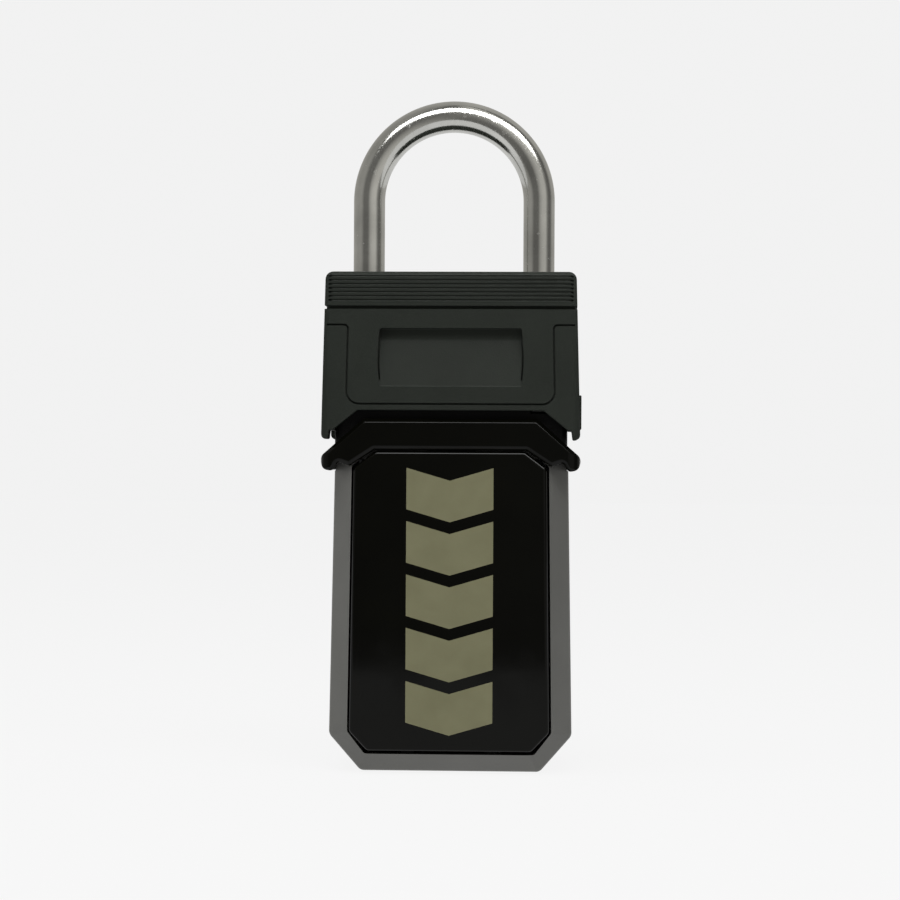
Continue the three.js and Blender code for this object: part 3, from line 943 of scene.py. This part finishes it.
def index_marks():
    """Two small pointers on the faceplate, level with the number that counts."""
    front = box_mm("dial_faceplate")[0].y
    z, half_height, thickness = 98.5, 1.1, 0.05
    tip_x, base_x = 16.6, 18.4
    pointers = []
    for side in (-1, 1):
        corners = [(tip_x, z), (base_x, z + half_height), (base_x, z - half_height)]
        pointer = [Vector((side * x, height)) for x, height in corners]
        pointers.append(prism(pointer, "front", (front - thickness, front)))
    return joined(pointers)


dress(index_marks(), "index_marks", "safe_body", number_paint)

# ---- Floor, light and camera --------------------------------------------------------------------

PALE = 0.886


def pale_floor():
    """A pale floor that meets the backdrop unseen in front, and lights less than it shows."""
    mesh = bmesh.new()
    half_width, front, back = 1.6, -0.32, 3.2
    gap = 0.0002
    corners = [(-half_width, front), (half_width, front), (half_width, back), (-half_width, back)]
    mesh.faces.new([mesh.verts.new((x, y, -gap)) for x, y in corners])
    floor = from_bmesh(mesh, "floor")
    look = Look("floor_paper", Roughness=1.0, Specular_IOR_Level=0.0)
    shader = look.shader
    shader.inputs["Base Color"].default_value = (0.04, 0.04, 0.04, 1)
    shader.inputs["Emission Color"].default_value = (1, 1, 1, 1)
    seen = look.nodes.new("ShaderNodeLightPath").outputs["Is Camera Ray"]
    look.links.new(look.remap(seen, 0, 1, 0.75, PALE), shader.inputs["Emission Strength"])
    floor.data.materials.append(look.material)


# Brightness of the mirrored room by heading, in degrees from the object's front to its right.
ROOM = {
    -90: 0.36,
    -60: 0.36,
    -48: 0.28,
    -38: 0.16,
    -6: 0.16,
    8: 0.40,
    25: 0.55,
    50: 0.60,
    64: 0.26,
    78: 0.14,
    92: 0.16,
    112: 0.46,
    180: 0.50,
    270: 0.36,
}


def room_grey(turn):
    return ROOM[turn], 0.98 * ROOM[turn], 0.93 * ROOM[turn]


def ramp_place(turn):
    """Where a heading falls on the radial gradient, which starts and ends at the left."""
    return 0.25 + turn / 360


def studio_world():
    """Pale to the camera; what the object mirrors is a grey room with a window on its right."""
    world = bpy.data.worlds.new("studio")
    world.use_nodes = True
    bpy.context.scene.world = world
    nodes, links = world.node_tree.nodes, world.node_tree.links
    dim = nodes["Background"]
    toward = nodes.new("ShaderNodeTexCoord")
    heading = nodes.new("ShaderNodeTexGradient")
    heading.gradient_type = "RADIAL"
    links.new(toward.outputs["Generated"], heading.inputs["Vector"])
    room = nodes.new("ShaderNodeValToRGB")
    stops = room.color_ramp.elements
    for stop, turn in ((stops[0], -90), (stops[1], 270)):
        stop.position = ramp_place(turn)
        stop.color = (*room_grey(turn), 1)
    for turn in sorted(ROOM)[1:-1]:
        stops.new(ramp_place(turn)).color = (*room_grey(turn), 1)
    links.new(heading.outputs["Fac"], room.inputs["Fac"])
    links.new(room.outputs["Color"], dim.inputs["Color"])
    path = nodes.new("ShaderNodeLightPath")
    shown = dim.outputs["Background"]
    for kind, grey in (("Is Diffuse Ray", 0.06), ("Is Camera Ray", PALE)):
        plain = nodes.new("ShaderNodeBackground")
        plain.inputs["Color"].default_value = (grey, grey, grey, 1)
        mix = nodes.new("ShaderNodeMixShader")
        links.new(path.outputs[kind], mix.inputs["Fac"])
        links.new(shown, mix.inputs[1])
        links.new(plain.outputs["Background"], mix.inputs[2])
        shown = mix.outputs["Shader"]
    links.new(shown, nodes["World Output"].inputs["Surface"])


def softbox(name, place, size, power, mirrored_too=False, lights_surfaces=True):
    """A rectangular lamp aimed at about the middle of the object."""
    middle = Vector((0, 0, 0.09))
    data = bpy.data.lights.new(name, "AREA")
    data.shape = "RECTANGLE"
    data.size, data.size_y = size
    data.energy = power
    lamp = add_object(name, data)
    lamp.visible_glossy = mirrored_too
    lamp.visible_diffuse = lights_surfaces
    lamp.location = place
    lamp.rotation_euler = (middle - Vector(place)).to_track_quat("-Z", "Y").to_euler()


def camera():
    """Level with the collar's lower edge, a little to the right, far enough for a long lens."""
    distance, yaw, level = 0.637, math.radians(2.5), 0.0813
    data = bpy.data.cameras.new("camera")
    data.lens = 99.2
    data.sensor_width = 36
    data.shift_x = -0.0033
    made = add_object("camera", data)
    back = Vector((math.sin(yaw), -math.cos(yaw), 0))
    made.location = back * distance + Vector((0, 0, level))
    roll = Matrix.Rotation(math.radians(0.3), 4, back)
    facing = (-back).to_track_quat("-Z", "Y").to_matrix().to_4x4()
    made.rotation_euler = (roll @ facing).to_euler()
    bpy.context.scene.camera = made


pale_floor()
studio_world()
softbox("front_softbox", (0.17, -0.50, 0.74), (0.9, 0.32), 5.0, mirrored_too=True)
softbox("top_softbox", (-0.10, -0.20, 0.90), (0.6, 0.5), 4.5)
softbox("left_softbox", (-1.10, -0.62, 0.25), (0.9, 1.2), 5.4)
softbox("right_softbox", (1.10, -0.55, 0.25), (0.8, 1.2), 0.5)
softbox("rim_strip", (0.10, -0.55, 0.80), (1.4, 0.30), 8.0, mirrored_too=True, lights_surfaces=False)
camera()
bpy.context.scene.view_settings.view_transform = "Standard"
